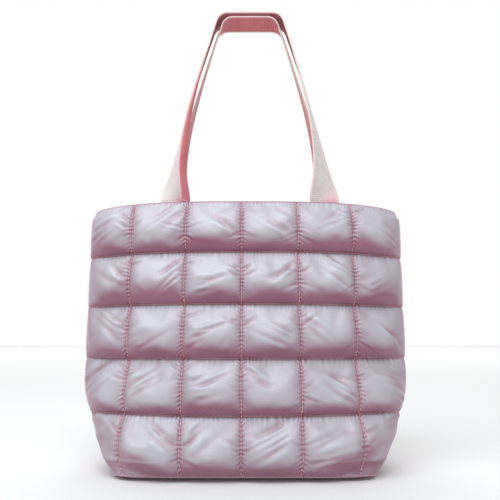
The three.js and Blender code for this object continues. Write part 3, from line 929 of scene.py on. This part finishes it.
for side_name in SIDES:
    lining(side_name)
    facing(side_name)
slip_pocket()

# ------------------------------------------------------------------ bottom
TRAY_INSET = 0.012
BOTTOM_RINGS = 34
BOTTOM_PADDING = 0.0032


def bottom_outline():
    """The bottom seam, once round the bag from its left side, in the XY plane."""
    s = column_stations(FINE_COLUMNS, crowding=0.55)
    front = wall_grid(-1, s, [0.0])[0, :-1, :2]
    back = wall_grid(1, s[::-1], [0.0])[0, :-1, :2]
    return np.concatenate([front, back])


def inset_scale(inset):
    return np.array([1 - inset / BASE_HALF_WIDTH, 1 - inset / BASE_HALF_DEPTH])


def bottom_rings(height_at, edge_inset, rings):
    """Points on rings from the seam inwards, at the height that height_at gives for each inset."""
    outline = bottom_outline()
    inset = edge_inset + (BASE_HALF_DEPTH * 0.96 - edge_inset) * (np.linspace(0, 1, rings) ** 1.7)
    points = np.zeros((rings, len(outline), 3))
    for ring, distance in enumerate(inset):
        points[ring, :, :2] = outline * inset_scale(distance)
        points[ring, :, 2] = height_at(distance)
    return points


def ring_faces(rings, count, up, first=0):
    """Faces of a disc of rings, closed in its middle, that looks up or down."""
    middle = tuple(first + (rings - 1) * count + i for i in range(count))
    faces = [*ring_quads(rings, count, first), middle]
    return faces if up else [face[::-1] for face in faces]


def bottom_panel():
    rng = np.random.default_rng(61)
    count = len(bottom_outline())
    around = np.arange(count) * (4 * HALF_GIRTH / count)
    pucker = 0.0005 * np.cos(2 * np.pi * around / STITCH) * (1 + 0.5 * wander(rng, around, 0.01))
    sag = 0.0006 * (1 + wander(rng, around, 0.05))

    def underside(inset):
        tray = 1 - smooth((inset + 0.001) / TRAY_INSET) ** 0.8
        fold = math.exp(-(((inset - 0.004) / 0.004) ** 2))
        settled = sag * math.exp(-inset / 0.02) * (1 - tray)
        return (BOTTOM_SEAM_Z - 0.0002) * tray + pucker * fold + settled

    lower = bottom_rings(underside, -0.0014, BOTTOM_RINGS)
    lower[..., 2] = np.maximum(lower[..., 2], 0)
    upper = bottom_rings(lambda inset: BOTTOM_PADDING + 0.0012, 0.004, 4)
    points = np.concatenate([lower.reshape(-1, 3), upper.reshape(-1, 3)])
    first = BOTTOM_RINGS * count
    faces = ring_faces(BOTTOM_RINGS, count, up=False)
    faces += ring_faces(4, count, up=True, first=first)
    faces += [(i, (i + 1) % count, first + (i + 1) % count, first + i) for i in range(count)]
    piece = add_mesh("bottom_panel", points, faces, SATIN)
    set_uv(piece, points[:, :2])
    # painted shade along the bottom seam, through the crease colour
    seam_shade = np.zeros(len(points))
    seam_shade[:count * 6] = 0.6
    set_values(piece, "crease_shade", seam_shade)
    # the bottom faces down, so it is painted mostly in the rose shade colour
    set_values(piece, "painted_light", np.full(len(points), 0.15))
    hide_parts("bottom_shell", "bottom_wadding")
    on_bag(piece)
    down = np.tile([0.0, 0.0, -1.0], (count, 1))
    seam = np.concatenate([lower[5], lower[5, :1]])
    add_stitches("bottom_seam_thread", [(seam, np.concatenate([down, down[:1]]), FINE_STITCH)])


def bottom_lining():
    half_width = BASE_HALF_WIDTH - 0.006
    half_depth = BASE_HALF_DEPTH - 0.006
    u = np.linspace(-1, 1, 121)
    w = np.linspace(-1, 1, 61)
    rng = np.random.default_rng(71)
    points = np.zeros((len(w), len(u), 3))
    round_x = 1 - 0.10 * np.abs(w)[:, None] ** 8
    round_y = 1 - 0.10 * np.abs(u)[None, :] ** 8
    points[..., 0] = half_width * u[None, :] * round_x
    points[..., 1] = half_depth * w[:, None] * round_y
    ripple = wander(rng, u, 0.3)[None, :] * wander(rng, w, 0.4)[:, None]
    points[..., 2] = BOTTOM_PADDING + 0.0022 + 0.0006 * ripple
    normals = np.zeros_like(points)
    normals[..., 2] = 1
    s, v = half_width * u, half_depth * w
    piece = add_sheet("bottom_lining_cloth", -1, points, normals, SHEET_THICKNESS, s, v, LINING)
    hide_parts("bottom_lining")
    on_bag(piece)


bottom_panel()
bottom_lining()

# ------------------------------------------------------------------ handles
RIB = 0.0028
RIB_STEPS = 4
RIB_DEPTH = 0.00013
FACE_POINTS = 25
FOLD_WIDTH = 0.0130  # the inner edge of the front handle's left leg is folded over to the front
FOLD_LENGTH = 0.230
FOLD_ANGLE = math.radians(162)
FOLD_CURL = 0.0028


def bow(a, b, c):
    t = np.linspace(0, 1, 120)[:, None]
    return (1 - t) ** 2 * a + 2 * t * (1 - t) * b + t**2 * c


def leg_roots(name, side):
    """Where the legs leave the mouth seam, with the wall's normal there."""
    roots = []
    for leg_x in leg_places(name):
        s = leg_x
        for _ in range(4):
            s += leg_x - wall_patch(side, s, WALL_HEIGHT)[0][0]
        point, normal = wall_patch(side, s, WALL_HEIGHT)
        roots.append((point - normal * (SEWN_SPACE / 2), normal))
    return roots


def handle_line(side, roots):
    """The middle line of a handle from hinge to hinge, and the length of a leg and of a bend."""
    hinge_z = BOTTOM_SEAM_Z + WALL_HEIGHT + ROOT_CLEARANCE
    hinge_y = (roots[0][0][1] + roots[1][0][1]) / 2
    left, right = (np.array([root[0], hinge_y, hinge_z]) for root, _ in roots)
    nest = HANDLE_NEST if side > 0 else 0
    top_z = BOTTOM_SEAM_Z + WALL_HEIGHT + HANDLE_RISE - nest
    top_left = np.array([HANDLE_CENTRE_X - HANDLE_TOP_X + nest, 0, top_z])
    top_right = np.array([HANDLE_CENTRE_X + HANDLE_TOP_X - nest, 0, top_z])
    up = np.array([0, 0, HANDLE_LEG_BOW])

    def towards(corner, other):
        return corner + (other - corner) * HANDLE_BEND / np.linalg.norm(other - corner)

    a, b = towards(top_left, left + up), towards(top_left, top_right)
    c, d = towards(top_right, top_left), towards(top_right, right + up)
    leg, bend = bow(left, left + up, a), bow(a, top_left, b)
    line = [leg, bend, bow(b, (b + c) / 2, c), bow(c, top_right, d), bow(d, right + up, right)]
    line = [leg, *(part[1:] for part in line[1:])]
    lengths = [np.linalg.norm(np.diff(part, axis=0), axis=1).sum() for part in (leg, bend)]
    return np.concatenate(line), lengths, (hinge_y, hinge_z)


def turn_about(vectors, axes, angle):
    """Turns each vector about its own unit axis."""
    c, s = np.cos(angle)[:, None], np.sin(angle)[:, None]
    along = np.einsum("ij,ij->i", vectors, axes)[:, None]
    return vectors * c + np.cross(axes, vectors) * s + axes * along * (1 - c)


def unit(vectors):
    return vectors / np.linalg.norm(vectors, axis=1, keepdims=True)


def handle_stations(name, side):
    """Centres, width directions, normals and distances along the webbing, sewn ends included."""
    roots = leg_roots(name, side)
    line, (leg, bend), hinge = handle_line(side, roots)
    run = np.concatenate([[0], np.cumsum(np.linalg.norm(np.diff(line, axis=0), axis=1))])
    length = run[-1]
    count = int((length + 2 * WEBBING_SEWN_LENGTH) / RIB) * RIB_STEPS
    distance = np.linspace(-WEBBING_SEWN_LENGTH, length + WEBBING_SEWN_LENGTH, count + 1)
    centre = np.stack([np.interp(distance, run, line[:, i]) for i in range(3)], axis=1)
    tangent = unit(np.gradient(centre, axis=0) + 1e-9)

    to_end = np.minimum(distance, length - distance)
    run = np.where(to_end > 0, np.hypot(to_end, TWIST_EASE) - TWIST_EASE, 0)
    turn = FULL_TURN[name] * run / (run + TWIST_LENGTH)
    turn = turn + (math.pi / 2 - turn) * smooth((to_end - leg) / bend)
    out = np.array([0.0, side, 0.0])

    for end, (root, normal) in enumerate(roots):
        sewn = distance < 0 if end == 0 else distance > length
        width = unit(np.cross([0, 0, 1], normal)[None, :])[0]
        down = np.cross(normal, width)
        down = down if down[2] < 0 else -down
        start = line[0] if end == 0 else line[-1]
        depth = -to_end[sewn][:, None]
        settle = smooth(depth / (2 * ROOT_CLEARANCE))
        below = start + np.array([0, 0, -1.0]) * depth
        centre[sewn] = below + (root + down * (depth - ROOT_CLEARANCE) - below) * settle
        tangent[sewn] = -down if end == 0 else down
    centre = np.stack([np.convolve(np.pad(centre[:, i], 4, mode="edge"), np.ones(9) / 9, "valid")
                       for i in range(3)], axis=1)
    width = unit(np.cross(tangent, out[None, :]))
    normal = unit(np.cross(width, tangent))
    return {
        "centre": centre,
        "width": turn_about(width, tangent, turn * side),
        "normal": turn_about(normal, tangent, turn * side),
        "distance": distance,
        "to_end": to_end,
        "turn": turn,
        "leg": leg,
        "length": length,
        "hinge": hinge,
    }


def webbing_section(flap, angle):
    """The middle line of the webbing across its width at each station, and its slope there.

    flap is the width of the edge that is folded over at each station, and angle how far."""
    u = np.linspace(0, 1, FACE_POINTS)[None, :] * (WEBBING_WIDTH + flap[:, None]) - WEBBING_WIDTH / 2
    slope = angle[:, None] * smooth((u - WEBBING_WIDTH / 2) / FOLD_CURL + 0.5)
    step = np.diff(u, axis=1)
    middle = (slope[:, 1:] + slope[:, :-1]) / 2
    start = np.zeros((len(flap), 1))
    across = np.hstack([start, np.cumsum(np.cos(middle) * step, axis=1)]) - WEBBING_WIDTH / 2
    out = np.hstack([start, np.cumsum(np.sin(middle) * step, axis=1)])
    return u, across, out, slope


def handle(name):
    side = SIDES[name]
    at = handle_stations(name, side)
    flap = np.zeros(len(at["distance"]))
    angle = np.zeros_like(flap)
    if name == "front":
        run = at["distance"]
        flap = FOLD_WIDTH * np.clip(1 - run / FOLD_LENGTH, 0, 1) * smooth((run + 0.004) / 0.008)
        flap = flap * (1 - smooth((run - at["leg"] + 0.06) / 0.05))
        angle = np.where(flap > 0, FOLD_ANGLE - at["turn"], 0)
    u, across, out, slope = webbing_section(flap, angle)
    bend = np.cos(np.pi * np.clip(u / WEBBING_WIDTH, -0.5, 0.5))
    cup = 0.0009 * bend * smooth(at["to_end"] / 0.03)[:, None]
    rib = RIB_DEPTH * np.cos(2 * np.pi * np.arange(len(flap)) / RIB_STEPS)[:, None]
    half = WEBBING_THICKNESS / 2

    def face(sign):
        reach = sign * (half + rib)
        x = across - np.sin(slope) * reach
        y = out + cup + np.cos(slope) * reach
        offset = at["width"][:, None] * x[..., None] + at["normal"][:, None] * y[..., None]
        return at["centre"][:, None] + offset

    def edge(end):
        """The rounded woven edge of the webbing, beyond the last point of a face."""
        column = -1 if end > 0 else 0
        x = across[:, column] + end * np.cos(slope[:, column]) * (half * 0.8 + rib[:, 0])
        y = out[:, column] + end * np.sin(slope[:, column]) * (half * 0.8 + rib[:, 0])
        point = at["centre"] + at["width"] * x[:, None] + at["normal"] * y[:, None]
        return point[:, None]

    front, back = face(1), face(-1)
    rings = np.concatenate([front, edge(1), back[:, ::-1], edge(-1)], axis=1)
    count = rings.shape[1]
    faces = tube_faces(len(rings), count)
    facing_out = np.cross(rings[1, 0] - rings[0, 0], rings[0, 1] - rings[0, 0]) @ at["normal"][0]
    if facing_out < 0:
        faces = [face[::-1] for face in faces]
    piece = add_mesh(f"{name}_handle_webbing", rings, faces, WEBBING)
    low, high = u[:, :1] - half, u[:, -1:] + half
    ring_u = np.concatenate([u, high, 2 * high - u[:, ::-1], low], axis=1)
    grid = np.stack([ring_u, np.broadcast_to(at["distance"][:, None], ring_u.shape)], axis=-1)
    set_uv(piece, grid.reshape(-1, 2))
    # the reverse face gets the coral painted shade
    is_back = np.concatenate([np.zeros(FACE_POINTS), [0.5], np.ones(FACE_POINTS), [0.5]])
    set_values(piece, "reverse_shade", np.broadcast_to(is_back, (len(rings), count)))
    # painted highlight along the webbing's edges and round its rim
    to_edge = np.minimum(u - u[:, :1], u[:, -1:] - u)
    highlight_near_edge = np.clip((0.0022 - to_edge) / 0.0012, 0, 1)
    rim = np.ones_like(low)
    selvedge_highlight = np.concatenate([highlight_near_edge, rim, highlight_near_edge[:, ::-1], rim], axis=1)
    set_values(piece, "selvedge_highlight", selvedge_highlight * 0.8)
    # painted rosy shade near the root of each leg, fading towards one edge
    inner = smooth(0.5 + u / WEBBING_WIDTH * np.where(at["distance"] < at["length"] / 2, 1, -1)[:, None])
    root_shade = 0.7 * np.exp(-np.clip(at["to_end"], 0, None) / 0.014)[:, None] * inner
    set_values(piece, "root", np.concatenate([root_shade, rim * 0, root_shade[:, ::-1], rim * 0], axis=1))
    ends = [f"{name}_left_webbing_end", f"{name}_right_webbing_end"]
    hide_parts(f"{name}_handle", *ends)
    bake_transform(piece)


for side_name in SIDES:
    handle(side_name)

# ------------------------------------------------------------------ magnetic snap
TURNED_SIDES = 64


def turned_piece(name, side, profile, node):
    """A round part that stands on the facing, from a profile of (radius, height) points."""
    angle = np.arange(TURNED_SIDES) * 2 * np.pi / TURNED_SIDES
    rings = np.array([[(r * math.cos(a), r * math.sin(a), h) for a in angle] for r, h in profile])
    point, normal = wall_patch(side, QUILT_SHIFT, WALL_HEIGHT - SNAP_DEPTH_BELOW_MOUTH)
    inwards = -normal
    x = np.cross([0, 0, 1], inwards)
    x /= np.linalg.norm(x)
    y = np.cross(inwards, x)
    origin = point - normal * (SEWN_SPACE + CLOTH)
    placed = origin + rings[..., :1] * x + rings[..., 1:2] * y + rings[..., 2:] * inwards
    piece = add_mesh(name, placed, tube_faces(len(profile), TURNED_SIDES), NICKEL)
    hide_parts(node)
    on_bag(piece)


def round_edge(radius, height, size, turn_from, turn_to):
    """Points of a rounded edge centred on (radius, height)."""
    angles = np.radians(np.linspace(turn_from, turn_to, 5))
    return [(radius + size * math.cos(a), height + size * math.sin(a)) for a in angles]


STEM_LENGTH = SEWN_SPACE + CLOTH
FACE_HEIGHT = SNAP_FOOT + SNAP_HEIGHT
ROUND = 0.0005
DISC = [
    (SNAP_STEM_RADIUS, -STEM_LENGTH),
    (SNAP_STEM_RADIUS, SNAP_FOOT),
    *round_edge(SNAP_RADIUS - ROUND, SNAP_FOOT + ROUND, ROUND, -90, 0),
    *round_edge(SNAP_RADIUS - ROUND, FACE_HEIGHT - ROUND, ROUND, 0, 90),
]
STUD = [
    *DISC,
    (STUD_RADIUS + 0.0020, FACE_HEIGHT),
    (STUD_RADIUS + 0.0016, FACE_HEIGHT - 0.0004),
    (STUD_RADIUS, FACE_HEIGHT - 0.0004),
    *round_edge(STUD_RADIUS - 0.0003, FACE_HEIGHT + SNAP_HEIGHT / 2 - 0.0003, 0.0003, 0, 90),
    (0.0004, FACE_HEIGHT + SNAP_HEIGHT / 2),
]
SOCKET = [
    *DISC,
    (STUD_RADIUS + 0.0020, FACE_HEIGHT),
    (STUD_RADIUS + 0.0014, FACE_HEIGHT - 0.0003),
    (STUD_RADIUS + 0.0006, FACE_HEIGHT - 0.0003),
    (STUD_RADIUS + 0.00035, FACE_HEIGHT - 0.0006),
    (STUD_RADIUS + 0.00035, FACE_HEIGHT - SNAP_HEIGHT / 2),
    (0.0004, FACE_HEIGHT - SNAP_HEIGHT / 2),
]
turned_piece("snap_stud", -1, STUD, "front_snap_stud")
turned_piece("snap_socket", 1, SOCKET, "back_snap_socket")
for side_name in SIDES:
    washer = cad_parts[f"{side_name}_snap_washer"]
    washer.data.materials.clear()
    washer.data.materials.append(NICKEL)


# ------------------------------------------------------------------ floor and light
def stage_floor():
    points = [(x, y, 0) for x, y in ((-6, -6), (6, -6), (6, 6), (-6, 6))]
    material, _, shader = new_material("floor", 0.9)
    shader.inputs["Base Color"].default_value = (0.85, 0.85, 0.85, 1)
    add_mesh("floor", points, [(0, 1, 2, 3)], material)


def add_area(name, location, target, size, power, color=(1, 1, 1)):
    data = bpy.data.lights.new(name, "AREA")
    data.shape = "RECTANGLE"
    data.size, data.size_y = size
    data.energy = power
    data.color = color
    light = bpy.data.objects.new(name, data)
    light.location = location
    light.rotation_mode = "QUATERNION"
    direction = Vector(target) - Vector(location)
    light.rotation_quaternion = direction.to_track_quat("-Z", "Y")
    bpy.context.scene.collection.objects.link(light)


def studio_world():
    """A plain white background, and a softer white light from all round."""
    world = bpy.data.worlds.new("world")
    world.use_nodes = True
    tree = world.node_tree
    seen = add_node(tree, "LightPath").outputs["Is Camera Ray"]
    strength = ramp(tree, seen, 0, 1, 0.60, 1.0)
    background = tree.nodes["Background"]
    background.inputs["Color"].default_value = (1, 1, 1, 1)
    tree.links.new(strength, background.inputs["Strength"])
    bpy.context.scene.world = world


stage_floor()
add_area("key", (-0.30, -0.8, 1.45), (0, 0, 0.2), (1.8, 0.9), 18, (0.90, 0.97, 1.0))
add_area("floor_wash", (0, 4.0, 3.0), (0, 4.2, 0), (10, 5), 170)
studio_world()
